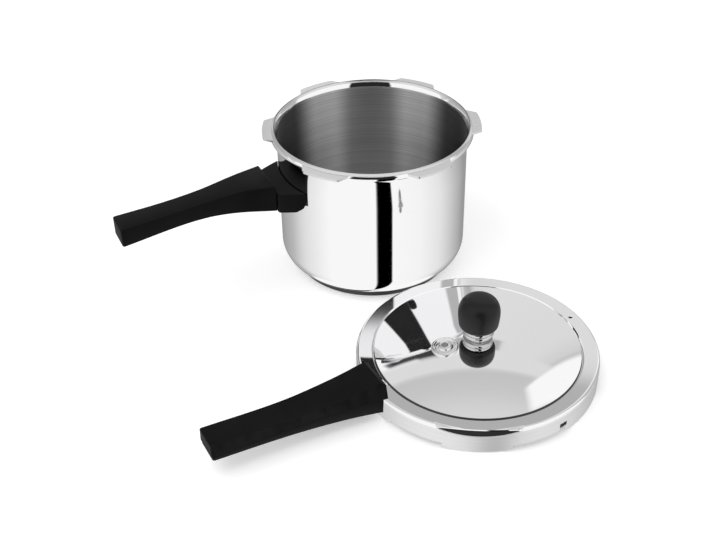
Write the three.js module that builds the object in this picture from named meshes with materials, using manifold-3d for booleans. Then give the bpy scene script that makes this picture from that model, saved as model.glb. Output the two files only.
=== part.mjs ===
// A steel pressure cooker with its lid taken off and laid on the table in front of the pot.
// Millimetres, +Z up. The origin is the centre of the pot's base, on the table.
import * as THREE from 'three';
import { mergeVertices } from 'three/addons/utils/BufferGeometryUtils.js';
import Module from 'manifold-3d';

const wasm = await Module();
wasm.setup();

// Fits shared by every piece
const clearance = 0.3;
const overcut = 2;
const weldDistance = 0.001;

// Pot
const potRadius = 92;
const potSheet = 1.2;
const potBend = 20;
const rimHeight = 148.5;
const rimReach = 6;
const rimDepth = 4;
const rimRound = 2.2;
const mouthFlare = 3.4;
const neckRound = 3;
const lugCount = 6;
const potLugReach = 7.5;
const potLugThickness = 2;
const potLugSpan = 25;
const potLugTurn = -22.8;

// Base under the pot: a core that spreads heat, closed in a steel cap
const baseRadius = 78;
const capSheet = 1;
const coreThickness = 3.6;

// Pot handle
const potHandleTurn = 205;
const guardThickness = 17.4;
const guardWallWidth = 58;
const guardFrontWidth = 42;
const guardDrop = 36.5;
const guardHeight = 19.5;
const plateMargin = 2.5;
const gripLength = 147;
const gripRootWidth = 44.6;
const gripWaistWidth = 24.8;
const gripTipWidth = 27;
const gripRootDrop = 28.5;
const gripTipFall = 9.8;
const gripRootDepth = 26.5;
const gripWaistDepth = 16.5;
const gripTipDepth = 18.2;
const gripTipCorner = 4;
const potTongueDrop = 42.5;

// Where the handles' curves turn, as shares of their length, and how far the grip's top has fallen there
const narrowingPlace = 0.23;
const waistPlace = 0.54;
const gripLevelPlace = 0.2;
const gripThinPlace = 0.44;
const gripLatePlace = 0.72;
const gripThinFall = 0.42;
const gripLateFall = 0.78;

// Handle brackets and screws, alike on pot and lid
const bracketSheet = 1.5;
const bracketWidth = 26;
const tongueThickness = 2.8;
const tongueWidth = 16;
const screwRadius = 2;
const screwHeadRadius = 4;
const screwHeadHeight = 3;
const screwSpread = 24;

// Lid
const lidGap = 8.7;
const lidDirection = -64.8;
const lidSheet = 1.2;
const lidSlack = 1;
const ringTop = 23.2;
const shoulderRound = 3;
const domeRise = 14.8;
const domeMargin = 16.1;
const grooveDepth = 1.8;
const grooveWidth = 1.15;
const skirtDepth = 17.6;
const lidLugSpan = 31;
const lidLugThickness = 1.5;
const lidLugSlack = 1.6;
const lidLugTurn = -2.5;
const windowSpan = 38;
const windowTurn = 57.7;
const notchSpan = 5.2;
const notchHeight = 7;
const notchTurn = 99.2;
const markRadius = 2.2;
const markTurn = 177.5;
const markMargin = 8.8;

// Sealing ring inside the lid
const sealThickness = 12.1;
const sealSlotHeight = 5.4;
const sealSlotDepth = 7.5;
const sealBevel = 2;

// Vent tube, on the lid's axis
const ventRadius = 5;
const ventBore = 1.5;
const ventRise = 20;
const ventTail = 8.6;
const ventFlangeRadius = 9;
const ventFlangeThickness = 1.6;

// Nuts and washers under the dome
const washerRadius = 9;
const washerThickness = 1.5;
const nutRadius = 8.6;
const nutHeight = 3.4;

// Safety valve
const valveOffset = 34;
const valveRadius = 12;
const valveThickness = 2.6;
const valveBossRadius = 6;
const valveBossHeight = 1.4;
const valveStemRadius = 5;
const plugRadius = 3;
const plugDepth = 3;
const plugProud = 0.5;

// Lid handle, in an upper and a lower half
const lidHandleTurn = 207.5;
const lidGripLength = 157;
const lidGripOverhang = 5.7;
const lidRootTopWidth = 30;
const lidRootWidth = 40;
const lidWaistWidth = 27;
const lidTipWidth = 26;
const lidTipCorner = 3;
const lidRootRise = 16.5;
const lidWaistRise = 8.6;
const lidTipRise = 11.5;
const lidRootFall = 14.8;
const lidTipFall = 4.2;
const lidTongueReach = 64;
const lidPlateDrop = 12;
const lidTipStep = 0.8;

// Weight that sits on the vent tube
const collarRadius = 13.9;
const collarHeight = 8;
const weightStemRadius = 8;
const weightStemHeight = 18;
const weightSlack = 0.6;
const capFootRadius = 15;
const capRadius = 18.5;
const capBelly = 16.5;
const capHeight = 30.2;
const seatHeight = 3;
const seatPoint = 1;

// How finely curves are divided
const turns = 60;
const smallTurns = 24;
const bendSteps = 4;
const arcSteps = 6;
const splineSteps = 3;

// Sizes that follow from the ones above
const rimRadius = potRadius + rimReach;
const potLugRadius = rimRadius + potLugReach;
const rimUnder = rimHeight - rimDepth;
const potBottom = capSheet + clearance + coreThickness + clearance;
const lugPitch = 360 / lugCount;
const lidInside = potLugRadius + lidSlack;
const lidRadius = lidInside + lidSheet;
const lidDistance = potRadius + lidRadius + lidGap;
const domeRadius = lidRadius - domeMargin;
const domeTop = ringTop + domeRise;
const domeEdge = ringTop + lidSheet / 3;
const skirtEdge = ringTop - skirtDepth;
const lidLugInside = rimRadius + lidLugSlack;
const sealBottom = lidLugThickness + rimDepth + 2 * clearance;
const sealTop = ringTop - lidSheet - clearance;
const weightBottom = domeTop + ventFlangeThickness + 2 * clearance;
const capBottom = weightBottom + collarHeight + clearance;
const guardFace = potRadius + clearance;
const guardTop = rimHeight - guardDrop;
const guardBottom = guardTop - guardHeight;
const gripStart = guardFace + guardThickness + clearance;
const gripRootTop = rimHeight - gripRootDrop;
const tongueBase = rimHeight - potTongueDrop;
const lidHandleSplit = ringTop + clearance;
const lidTongueTop = lidHandleSplit - clearance;
const lidTongueBase = lidTongueTop - tongueThickness;
const plateFace = lidRadius + clearance;

// Materials
const polishedSteel = new THREE.MeshStandardMaterial({ color: 0xc8cacc, roughness: 0.14, metalness: 1 });
const plainSteel = new THREE.MeshStandardMaterial({ color: 0xa9abad, roughness: 0.35, metalness: 1 });
const aluminium = new THREE.MeshStandardMaterial({ color: 0xb4b6b8, roughness: 0.45, metalness: 1 });
const blackMoulding = new THREE.MeshStandardMaterial({ color: 0x161617, roughness: 0.38, metalness: 0 });
const blackRubber = new THREE.MeshStandardMaterial({ color: 0x1c1c1c, roughness: 0.8, metalness: 0 });
const softAlloy = new THREE.MeshStandardMaterial({ color: 0x8d8f90, roughness: 0.5, metalness: 1 });

// Closed triangle mesh to solid, and back
function solidOf(geometry) {
  const bare = geometry.clone();
  bare.deleteAttribute('normal');
  bare.deleteAttribute('uv');
  const welded = mergeVertices(bare, weldDistance);
  const corners = Array.from(welded.index.array);
  const triangles = [];
  for (let i = 0; i < corners.length; i += 3) {
    const [a, b, c] = corners.slice(i, i + 3);
    if (a !== b && b !== c && c !== a) triangles.push(a, b, c);
  }
  const vertProperties = new Float32Array(welded.attributes.position.array);
  const triVerts = new Uint32Array(triangles);
  return new wasm.Manifold(new wasm.Mesh({ numProp: 3, vertProperties, triVerts }));
}

function geometryOf(solid) {
  const mesh = solid.getMesh();
  const geometry = new THREE.BufferGeometry();
  geometry.setAttribute('position', new THREE.BufferAttribute(mesh.vertProperties, 3));
  geometry.setIndex(new THREE.BufferAttribute(mesh.triVerts, 1));
  geometry.computeVertexNormals();
  return geometry;
}

function addPiece(group, name, solid, material) {
  const mesh = new THREE.Mesh(geometryOf(solid), material);
  mesh.name = name;
  group.add(mesh);
}

// Basic shapes
const point = (x, y) => new THREE.Vector2(x, y);
const radians = THREE.MathUtils.degToRad;

function arc(x, y, radius, from, to, steps = bendSteps) {
  const points = [];
  for (let i = 0; i <= steps; i += 1) {
    const angle = radians(from + (to - from) * i / steps);
    points.push(point(x + radius * Math.cos(angle), y + radius * Math.sin(angle)));
  }
  return points;
}

function turned(profile, segments) {
  return solidOf(new THREE.LatheGeometry(profile, segments).rotateX(Math.PI / 2));
}

function ringProfile(inner, outer, bottom, top) {
  return [point(inner, bottom), point(outer, bottom), point(outer, top), point(inner, top), point(inner, bottom)];
}

function discProfile(radius, bottom, top) {
  return [point(0, bottom), point(radius, bottom), point(radius, top), point(0, top)];
}

function upright(shape, bottom, top, steps = arcSteps) {
  const options = { depth: top - bottom, bevelEnabled: false, curveSegments: steps };
  return new THREE.ExtrudeGeometry(shape, options).translate(0, 0, bottom);
}

// Plan of a ring sector, centred on +X
function sectorShape(inner, outer, span) {
  const half = radians(span / 2);
  const shape = new THREE.Shape();
  shape.absarc(0, 0, outer, -half, half, false);
  shape.absarc(0, 0, inner, half, -half, true);
  return shape;
}

function sector(inner, outer, span, bottom, top, turn) {
  return solidOf(upright(sectorShape(inner, outer, span), bottom, top).rotateZ(radians(turn)));
}

// A side outline in X and Z, extruded across Y
function across(shape, width, steps) {
  return solidOf(upright(shape, -width / 2, width / 2, steps).rotateX(Math.PI / 2));
}

function box(fromX, toX, width, bottom, top) {
  const geometry = new THREE.BoxGeometry(toX - fromX, width, top - bottom);
  return solidOf(geometry.translate((fromX + toX) / 2, 0, (bottom + top) / 2));
}

function pin(x, radius, bottom, top) {
  const geometry = new THREE.CylinderGeometry(radius, radius, top - bottom, smallTurns / 2);
  return solidOf(geometry.rotateX(Math.PI / 2).translate(x, 0, (bottom + top) / 2));
}

function hexPrism(radius, bottom, top) {
  const geometry = new THREE.CylinderGeometry(radius, radius, top - bottom, 6);
  return solidOf(geometry.rotateX(Math.PI / 2).translate(0, 0, (bottom + top) / 2));
}

// Drawn steel pot with a rolled rim and lugs for the lid to turn under
function potShell() {
  const flat = potRadius - potBend;
  const bendTop = potBottom + potBend;
  const inside = potRadius - potSheet;
  const lipTop = rimHeight - rimRound;
  const lugTop = rimUnder + potLugThickness;
  const flareX = inside + mouthFlare;
  const profile = [
    point(0, potBottom),
    ...arc(flat, bendTop, potBend, -90, 0),
    ...arc(potRadius + neckRound, rimUnder - neckRound, neckRound, 180, 90),
    point(potLugRadius, rimUnder),
    point(potLugRadius, lugTop),
    point(rimRadius, lugTop),
    ...arc(rimRadius - rimRound, lipTop, rimRound, 0, 90),
    ...arc(flareX, rimHeight - mouthFlare, mouthFlare, 90, 180),
    ...arc(flat, bendTop, potBend - potSheet, 0, -90),
    point(0, potBottom + potSheet),
  ];
  let shell = turned(profile, turns);
  for (let i = 0; i < lugCount; i += 1) {
    const gapTurn = potHandleTurn + potLugTurn + lugPitch * (i + 0.5);
    const gap = sector(rimRadius + clearance, potLugRadius + overcut, lugPitch - potLugSpan,
      rimUnder - overcut, lugTop + overcut, gapTurn);
    shell = shell.subtract(gap);
  }
  return shell;
}

// Steel cap with a low wall that follows the bend of the pot
function baseCap() {
  const wallInside = baseRadius - capSheet;
  const intoBend = wallInside - (potRadius - potBend);
  const bendRise = potBend - Math.sqrt(potBend ** 2 - intoBend ** 2);
  const wallTop = potBottom + bendRise - clearance;
  const profile = [
    point(0, 0),
    point(baseRadius, 0),
    point(baseRadius, wallTop),
    point(wallInside, wallTop),
    point(wallInside, capSheet),
    point(0, capSheet),
  ];
  return turned(profile, turns);
}

function baseCore() {
  const bottom = capSheet + clearance;
  const radius = baseRadius - capSheet - clearance;
  return turned(discProfile(radius, bottom, bottom + coreThickness), turns);
}

// Curved plate welded to the wall, with a flat tongue for the handle; along +X
function bracket(face, plateBottom, plateTop, tongueBottom, tongueEnd) {
  const span = THREE.MathUtils.radToDeg(bracketWidth / face);
  const plate = sector(face, face + bracketSheet, span, plateBottom, plateTop, 0);
  const tongue = box(face + bracketSheet / 2, tongueEnd, tongueWidth, tongueBottom, tongueBottom + tongueThickness);
  return plate.add(tongue);
}

// The room that a bracket takes up inside the pieces around it
function bracketRoom(face, plateBottom, plateTop, tongueBottom, tongueEnd) {
  const span = THREE.MathUtils.radToDeg((bracketWidth + 2 * clearance) / face);
  const plate = sector(face - overcut, face + bracketSheet + clearance, span,
    plateBottom - clearance, plateTop + clearance, 0);
  const slotTop = tongueBottom + tongueThickness + clearance;
  const slot = box(face, tongueEnd + clearance, tongueWidth + 2 * clearance, tongueBottom - clearance, slotTop);
  return plate.add(slot);
}

function screw(x, headBottom, top) {
  const neck = headBottom + screwHeadHeight;
  return pin(x, screwHeadRadius, headBottom, neck).add(pin(x, screwRadius, neck - clearance, top));
}

function screwRoom(x, open, headBottom, top) {
  const neck = headBottom + screwHeadHeight + clearance;
  const bore = pin(x, screwRadius + clearance, open, top + clearance);
  return pin(x, screwHeadRadius + clearance, open, neck).add(bore);
}

// Pot handle pieces, along +X before the handle group turns them
const potTongueEnd = gripStart + gripLength / 3;
const potPlate = [guardFace, guardBottom + plateMargin, guardTop - plateMargin, tongueBase, potTongueEnd];
const potScrewPlaces = [potTongueEnd - screwSpread - 2 * screwHeadRadius, potTongueEnd - 2 * screwHeadRadius];
const potScrewTop = tongueBase + tongueThickness + screwRadius;
const potScrewHead = tongueBase - screwHeadHeight - 2 * clearance;

function potHandleGuard() {
  const outer = guardFace + guardThickness;
  const wallAngle = Math.asin(guardWallWidth / 2 / guardFace);
  const plan = new THREE.Shape();
  plan.moveTo(outer, -guardFrontWidth / 2);
  plan.lineTo(outer, guardFrontWidth / 2);
  plan.absarc(0, 0, guardFace, wallAngle, -wallAngle, true);
  return solidOf(upright(plan, guardBottom, guardTop)).subtract(bracketRoom(...potPlate));
}

// Handle plan with a waist, from two half widths at the root to the tip
function handlePlan(start, length, rootWidth, waistWidth, tipWidth, corner) {
  const end = start + length;
  const half = [rootWidth / 2, (rootWidth + 2 * waistWidth) / 6, waistWidth / 2, tipWidth / 2];
  const places = [start, start + length * narrowingPlace, start + length * waistPlace, end - corner];
  const plan = new THREE.Shape();
  plan.moveTo(places[0], -half[0]);
  plan.splineThru([point(places[1], -half[1]), point(places[2], -half[2]), point(places[3], -half[3])]);
  plan.absarc(end - corner, corner - half[3], corner, -Math.PI / 2, 0, false);
  plan.absarc(end - corner, half[3] - corner, corner, 0, Math.PI / 2, false);
  plan.splineThru([point(places[2], half[2]), point(places[1], half[1]), point(places[0], half[0])]);
  return plan;
}

function potHandleGrip() {
  const end = gripStart + gripLength;
  const tipTop = gripRootTop - gripTipFall;
  const early = gripStart + gripLength * gripLevelPlace;
  const middle = gripStart + gripLength * gripThinPlace;
  const late = gripStart + gripLength * gripLatePlace;
  const middleTop = gripRootTop - gripTipFall * gripThinFall;
  const side = new THREE.Shape();
  side.moveTo(gripStart, gripRootTop - gripRootDepth);
  side.splineThru([point(middle, middleTop - gripWaistDepth), point(end, tipTop - gripTipDepth)]);
  side.lineTo(end, tipTop);
  side.splineThru([
    point(late, gripRootTop - gripTipFall * gripLateFall),
    point(middle, middleTop),
    point(early, gripRootTop),
    point(gripStart, gripRootTop),
  ]);
  const plan = handlePlan(gripStart, gripLength, gripRootWidth, gripWaistWidth, gripTipWidth, gripTipCorner);
  const blank = solidOf(upright(plan, tipTop - 2 * gripRootDepth, gripRootTop + overcut, splineSteps));
  let grip = blank.intersect(across(side, 2 * gripRootWidth, arcSteps / 2)).subtract(bracketRoom(...potPlate));
  for (const x of potScrewPlaces) {
    grip = grip.subtract(screwRoom(x, tipTop - 2 * gripRootDepth, potScrewHead, potScrewTop));
  }
  return grip;
}

function potHandleBracket() {
  let body = bracket(...potPlate);
  for (const x of potScrewPlaces) {
    body = body.subtract(pin(x, screwRadius + clearance, tongueBase - overcut, potScrewTop));
  }
  return body;
}

// Lid, in its own group: the table is at zero and its axis is +Z
function domeHeight(radius) {
  return domeTop - (domeTop - domeEdge) * (radius / domeRadius) ** 2;
}

function domeArc(offset, from, to) {
  const points = [];
  for (let i = 0; i <= arcSteps; i += 1) {
    const radius = from + (to - from) * i / arcSteps;
    points.push(point(radius, domeHeight(radius) - offset));
  }
  return points;
}

const valveTilt = Math.atan(2 * (domeTop - domeEdge) * valveOffset / domeRadius ** 2);

function lidShell() {
  const hole = ventRadius + clearance;
  const grooveAt = domeRadius + grooveWidth;
  const shoulderX = lidRadius - shoulderRound;
  const shoulderZ = ringTop - shoulderRound;
  const inner = shoulderRound - lidSheet;
  const profile = [
    point(hole, domeHeight(hole) - lidSheet),
    ...domeArc(lidSheet, hole, domeRadius).slice(1),
    point(grooveAt, ringTop - grooveDepth - lidSheet),
    point(grooveAt + grooveWidth, ringTop - lidSheet),
    ...arc(shoulderX, shoulderZ, inner, 90, 0),
    point(lidInside, lidLugThickness),
    point(lidLugInside, lidLugThickness),
    point(lidLugInside, 0),
    point(lidRadius, 0),
    ...arc(shoulderX, shoulderZ, shoulderRound, 0, 90),
    point(grooveAt + grooveWidth, ringTop),
    point(grooveAt, ringTop - grooveDepth),
    ...domeArc(0, domeRadius, hole),
    point(hole, domeHeight(hole) - lidSheet),
  ];
  let shell = turned(profile, turns);
  for (let i = 0; i < lugCount; i += 1) {
    const gapTurn = lidHandleTurn + lidLugTurn + lugPitch * (i + 0.5);
    const gap = sector(lidLugInside - overcut, lidRadius + overcut, lugPitch - lidLugSpan, -overcut, skirtEdge, gapTurn);
    shell = shell.subtract(gap);
  }
  const windowCut = sector(shoulderX, lidRadius + overcut, windowSpan,
    shoulderZ, ringTop + overcut, lidHandleTurn + windowTurn);
  const notchCut = sector(lidInside - overcut, lidRadius + overcut, notchSpan,
    skirtEdge - overcut, skirtEdge + notchHeight, lidHandleTurn + notchTurn);
  const markCut = pin(lidRadius - markMargin, markRadius, sealTop, ringTop + overcut);
  const valveHole = pin(0, valveStemRadius + clearance, -washerRadius, washerRadius);
  const heel = THREE.MathUtils.radToDeg(valveTilt);
  const placedHole = valveHole.rotate([0, heel, 0]).translate([valveOffset, 0, domeHeight(valveOffset)]);
  return shell
    .subtract(windowCut)
    .subtract(notchCut)
    .subtract(markCut.rotate([0, 0, lidHandleTurn + markTurn]))
    .subtract(placedHole.rotate([0, 0, lidHandleTurn]));
}

// Ring with a slot open to the inside, so that steam spreads its lips
function sealingRing() {
  const outer = lidInside - clearance;
  const inner = outer - sealThickness;
  const middle = (sealBottom + sealTop) / 2;
  const slotLow = middle - sealSlotHeight / 2;
  const slotHigh = middle + sealSlotHeight / 2;
  const profile = [
    point(inner, sealBottom),
    point(outer, sealBottom),
    point(outer, sealTop - sealBevel),
    point(outer - sealBevel, sealTop),
    point(inner, sealTop),
    point(inner, slotHigh),
    point(inner + sealSlotDepth, slotHigh),
    point(inner + sealSlotDepth, slotLow),
    point(inner, slotLow),
    point(inner, sealBottom),
  ];
  return turned(profile, turns);
}

// Vent tube with a flange that rests on the dome
function ventTube() {
  const flangeBottom = domeTop + clearance;
  const profile = [
    point(ventBore, domeTop - ventTail),
    point(ventRadius, domeTop - ventTail),
    point(ventRadius, flangeBottom),
    point(ventFlangeRadius, flangeBottom),
    point(ventFlangeRadius, flangeBottom + ventFlangeThickness),
    point(ventRadius, flangeBottom + ventFlangeThickness),
    point(ventRadius, domeTop + ventRise),
    point(ventBore, domeTop + ventRise),
    point(ventBore, domeTop - ventTail),
  ];
  return turned(profile, smallTurns);
}

const washerTop = -lidSheet - 2 * clearance;
const nutTop = washerTop - washerThickness - clearance;

function washer(stemRadius) {
  return turned(ringProfile(stemRadius + clearance, washerRadius, washerTop - washerThickness, washerTop), smallTurns);
}

function nut(stemRadius) {
  const bottom = nutTop - nutHeight;
  const bore = turned(discProfile(stemRadius + clearance, bottom - overcut, nutTop + overcut), smallTurns);
  return hexPrism(nutRadius, bottom, nutTop).subtract(bore);
}

// Safety valve, square to the dome, zero on the dome's surface
function valveBody() {
  const seat = 2 * clearance;
  const top = seat + valveThickness;
  const bossTop = top + valveBossHeight;
  const stemEnd = nutTop - nutHeight - clearance;
  const profile = [
    point(0, stemEnd),
    point(valveStemRadius, stemEnd),
    point(valveStemRadius, seat),
    point(valveRadius, seat),
    point(valveRadius, top),
    point(valveBossRadius, top),
    point(valveBossRadius, bossTop),
    point(plugRadius + clearance, bossTop),
    point(plugRadius + clearance, bossTop - plugDepth),
    point(0, bossTop - plugDepth),
  ];
  return turned(profile, smallTurns);
}

function valvePlug() {
  const bossTop = 2 * clearance + valveThickness + valveBossHeight;
  return turned(discProfile(plugRadius, bossTop - plugDepth + clearance, bossTop + plugProud), smallTurns);
}

// Lid handle pieces, along +X before the handle group turns them
const lidTongueEnd = plateFace + lidTongueReach;
const lidPlate = [plateFace, ringTop - lidPlateDrop, lidTongueTop, lidTongueBase, lidTongueEnd];
const lidScrewPlaces = [lidTongueEnd - screwSpread - 2 * screwHeadRadius, lidTongueEnd - 2 * screwHeadRadius];
const lidScrewTop = lidHandleSplit + lidWaistRise / 2;
const lidScrewHead = lidTongueBase - screwHeadHeight - 2 * clearance;
const lidGripStart = lidRadius - lidGripOverhang;
const lidGripEnd = lidGripStart + lidGripLength;

function lidScrewRooms(solid) {
  let cut = solid;
  for (const x of lidScrewPlaces) {
    cut = cut.subtract(screwRoom(x, lidHandleSplit - 2 * lidRootFall, lidScrewHead, lidScrewTop));
  }
  return cut;
}

function lidHandleUpper() {
  const middle = lidGripStart + lidGripLength * waistPlace;
  const side = new THREE.Shape();
  side.moveTo(lidGripStart, lidHandleSplit);
  side.lineTo(lidGripEnd, lidHandleSplit);
  side.lineTo(lidGripEnd, lidHandleSplit + lidTipRise);
  side.splineThru([
    point(middle, lidHandleSplit + lidWaistRise),
    point(lidGripStart, lidHandleSplit + lidRootRise),
  ]);
  const slant = (lidRootWidth - lidRootTopWidth) / 2;
  const front = new THREE.Shape();
  front.moveTo(-lidRootWidth / 2, lidHandleSplit);
  front.lineTo(lidRootWidth / 2, lidHandleSplit);
  front.lineTo(lidRootWidth / 2 - slant, lidHandleSplit + lidRootRise + overcut);
  front.lineTo(slant - lidRootWidth / 2, lidHandleSplit + lidRootRise + overcut);
  const plan = handlePlan(lidGripStart, lidGripLength, lidRootWidth, lidWaistWidth, lidTipWidth, lidTipCorner);
  const seenFront = solidOf(upright(front, 0, lidGripEnd + overcut).rotateX(Math.PI / 2).rotateZ(Math.PI / 2));
  const blank = solidOf(upright(plan, 0, lidHandleSplit + 2 * lidRootRise, splineSteps));
  return lidScrewRooms(blank.intersect(across(side, 2 * lidRootWidth, arcSteps / 2)).intersect(seenFront));
}

function lidHandleLower() {
  const end = lidGripEnd - lidTipStep;
  const top = lidHandleSplit - clearance;
  const middle = lidGripStart + lidGripLength * waistPlace;
  const side = new THREE.Shape();
  side.moveTo(lidGripStart, lidHandleSplit - lidRootFall);
  side.splineThru([
    point(middle, lidHandleSplit - (lidRootFall + 2 * lidTipFall) / 3),
    point(end, lidHandleSplit - lidTipFall),
  ]);
  side.lineTo(end, top);
  side.lineTo(lidGripStart, top);
  const plan = handlePlan(lidGripStart, end - lidGripStart, lidRootWidth, lidWaistWidth, lidTipWidth, lidTipCorner);
  const blank = solidOf(upright(plan, 0, lidHandleSplit + overcut, splineSteps));
  const lidRoom = turned(discProfile(plateFace, -overcut, ringTop + overcut), turns);
  const body = blank.intersect(across(side, 2 * lidRootWidth, arcSteps / 2));
  const bracketSpace = bracketRoom(...lidPlate);
  return lidScrewRooms(body.subtract(lidRoom).subtract(bracketSpace));
}

function lidHandleBracket() {
  let body = bracket(...lidPlate);
  for (const x of lidScrewPlaces) {
    body = body.subtract(pin(x, screwRadius + clearance, lidTongueBase - overcut, lidScrewTop));
  }
  return body;
}

// Weight: a steel body with a bore for the vent tube, a needle seat in it and a moulded cap
function weightBody() {
  const collarTop = weightBottom + collarHeight;
  const bore = ventRadius + weightSlack;
  const boreTop = domeTop + ventRise + seatHeight + 3 * clearance;
  const profile = [
    point(bore, weightBottom),
    point(collarRadius, weightBottom),
    point(collarRadius, collarTop),
    point(weightStemRadius, collarTop),
    point(weightStemRadius, collarTop + weightStemHeight),
    point(0, collarTop + weightStemHeight),
    point(0, boreTop),
    point(bore, boreTop),
    point(bore, weightBottom),
  ];
  return turned(profile, smallTurns);
}

function weightSeat() {
  const bottom = domeTop + ventRise + clearance;
  const radius = ventRadius + weightSlack - clearance;
  const profile = [
    point(0, bottom),
    point(ventBore, bottom),
    point(radius, bottom + seatPoint),
    point(radius, bottom + seatHeight),
    point(0, bottom + seatHeight),
  ];
  return turned(profile, smallTurns);
}

function weightCap() {
  const bellyZ = capBottom + capBelly;
  const domeB = capHeight - capBelly;
  const hollow = weightStemRadius + clearance;
  const hollowTop = capBottom + weightStemHeight + clearance;
  const outside = arc(0, 0, 1, 0, 90).map((p) => point(capRadius * p.x, bellyZ + domeB * p.y));
  outside[outside.length - 1].x = 0;
  const profile = [
    point(hollow, capBottom),
    point(capFootRadius, capBottom),
    point((capFootRadius + 2 * capRadius) / 3, capBottom + capBelly / 3),
    ...outside,
    point(0, hollowTop),
    point(hollow, hollowTop),
    point(hollow, capBottom),
  ];
  return turned(profile, smallTurns);
}

// Assembly
const cooker = new THREE.Group();

const pot = new THREE.Group();
addPiece(pot, 'pot_shell', potShell(), polishedSteel);
addPiece(pot, 'base_core', baseCore(), aluminium);
addPiece(pot, 'base_cap', baseCap(), plainSteel);
cooker.add(pot);

const potHandle = new THREE.Group();
addPiece(potHandle, 'pot_handle_bracket', potHandleBracket(), plainSteel);
addPiece(potHandle, 'pot_handle_guard', potHandleGuard(), blackMoulding);
addPiece(potHandle, 'pot_handle_grip', potHandleGrip(), blackMoulding);
const screwNames = ['inner', 'outer'];
screwNames.forEach((place, i) => {
  addPiece(potHandle, `pot_handle_screw_${place}`, screw(potScrewPlaces[i], potScrewHead, potScrewTop), plainSteel);
});
potHandle.rotation.z = radians(potHandleTurn);
pot.add(potHandle);

const lid = new THREE.Group();
const lidAngle = radians(lidDirection);
lid.position.set(lidDistance * Math.cos(lidAngle), lidDistance * Math.sin(lidAngle), 0);
addPiece(lid, 'lid_shell', lidShell(), polishedSteel);
addPiece(lid, 'sealing_ring', sealingRing(), blackRubber);
addPiece(lid, 'vent_tube', ventTube(), plainSteel);
cooker.add(lid);

const underVent = new THREE.Group();
addPiece(underVent, 'vent_washer', washer(ventRadius), blackRubber);
addPiece(underVent, 'vent_nut', nut(ventRadius), plainSteel);
underVent.position.z = domeTop;
lid.add(underVent);

const lidHandle = new THREE.Group();
addPiece(lidHandle, 'lid_handle_bracket', lidHandleBracket(), plainSteel);
addPiece(lidHandle, 'lid_handle_upper', lidHandleUpper(), blackMoulding);
addPiece(lidHandle, 'lid_handle_lower', lidHandleLower(), blackMoulding);
screwNames.forEach((place, i) => {
  addPiece(lidHandle, `lid_handle_screw_${place}`, screw(lidScrewPlaces[i], lidScrewHead, lidScrewTop), plainSteel);
});
lidHandle.rotation.z = radians(lidHandleTurn);
lid.add(lidHandle);

const valve = new THREE.Group();
addPiece(valve, 'safety_valve_body', valveBody(), plainSteel);
addPiece(valve, 'safety_valve_plug', valvePlug(), softAlloy);
addPiece(valve, 'safety_valve_washer', washer(valveStemRadius), blackRubber);
addPiece(valve, 'safety_valve_nut', nut(valveStemRadius), plainSteel);
valve.position.set(valveOffset, 0, domeHeight(valveOffset));
valve.rotation.y = valveTilt;
lidHandle.add(valve);

const weight = new THREE.Group();
addPiece(weight, 'weight_body', weightBody(), plainSteel);
addPiece(weight, 'weight_seat', weightSeat(), plainSteel);
addPiece(weight, 'weight_cap', weightCap(), blackMoulding);
lid.add(weight);

export default cooker;
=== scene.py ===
import math

import bmesh
import bpy
from mathutils import Matrix, Vector


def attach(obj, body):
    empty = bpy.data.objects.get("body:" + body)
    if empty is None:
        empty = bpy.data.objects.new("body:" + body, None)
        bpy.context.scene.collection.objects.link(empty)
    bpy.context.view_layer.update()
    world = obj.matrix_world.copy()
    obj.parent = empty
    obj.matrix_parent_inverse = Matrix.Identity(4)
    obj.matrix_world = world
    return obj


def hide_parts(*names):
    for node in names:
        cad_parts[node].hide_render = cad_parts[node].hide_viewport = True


# Pressure cooker with its lid laid in front of it.
# Pieces are modelled in millimetres round their own axis and brought to metres when they are kept.
# Angles are in degrees. Floor, lamp and camera are in metres.

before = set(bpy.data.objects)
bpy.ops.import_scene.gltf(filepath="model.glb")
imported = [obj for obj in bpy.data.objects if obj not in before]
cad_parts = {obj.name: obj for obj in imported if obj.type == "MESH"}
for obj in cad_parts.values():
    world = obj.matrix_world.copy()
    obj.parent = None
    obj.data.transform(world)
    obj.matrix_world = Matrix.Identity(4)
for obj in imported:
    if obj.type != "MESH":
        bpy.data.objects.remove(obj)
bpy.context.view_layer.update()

mm = 0.001
lidAxis = (88.732, -188.566)
lugCount = 6
lugPitch = 360 / lugCount


# materials

def addNode(tree, kind, label="", **settings):
    node = tree.nodes.new(kind)
    node.label = label
    for key, value in settings.items():
        setattr(node, key, value)
    return node


def setInputs(node, **values):
    for key, value in values.items():
        node.inputs[key.replace("_", " ")].default_value = value


def greyRamp(tree, source, stops, label, interpolation="LINEAR"):
    ramp = addNode(tree, "ShaderNodeValToRGB", label)
    ramp.color_ramp.interpolation = interpolation
    marks = ramp.color_ramp.elements
    marks.remove(marks[1])
    marks[0].position = stops[0][0]
    for stop in stops[1:]:
        marks.new(stop[0])
    for mark, stop in zip(marks, stops):
        tone = stop[1]
        mark.color = tone if isinstance(tone, tuple) else (tone, tone, tone, 1)
    tree.links.new(source, ramp.inputs["Fac"])
    return ramp


def spread(tree, source, low, high, label):
    span = addNode(tree, "ShaderNodeMapRange", label)
    setInputs(span, To_Min=low, To_Max=high)
    tree.links.new(source, span.inputs["Value"])
    return span.outputs["Result"]


def noise(tree, vector, scale, detail, label, roughness=0.5):
    node = addNode(tree, "ShaderNodeTexNoise", label)
    setInputs(node, Scale=scale, Detail=detail, Roughness=roughness)
    tree.links.new(vector, node.inputs["Vector"])
    return node.outputs["Fac"]


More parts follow.
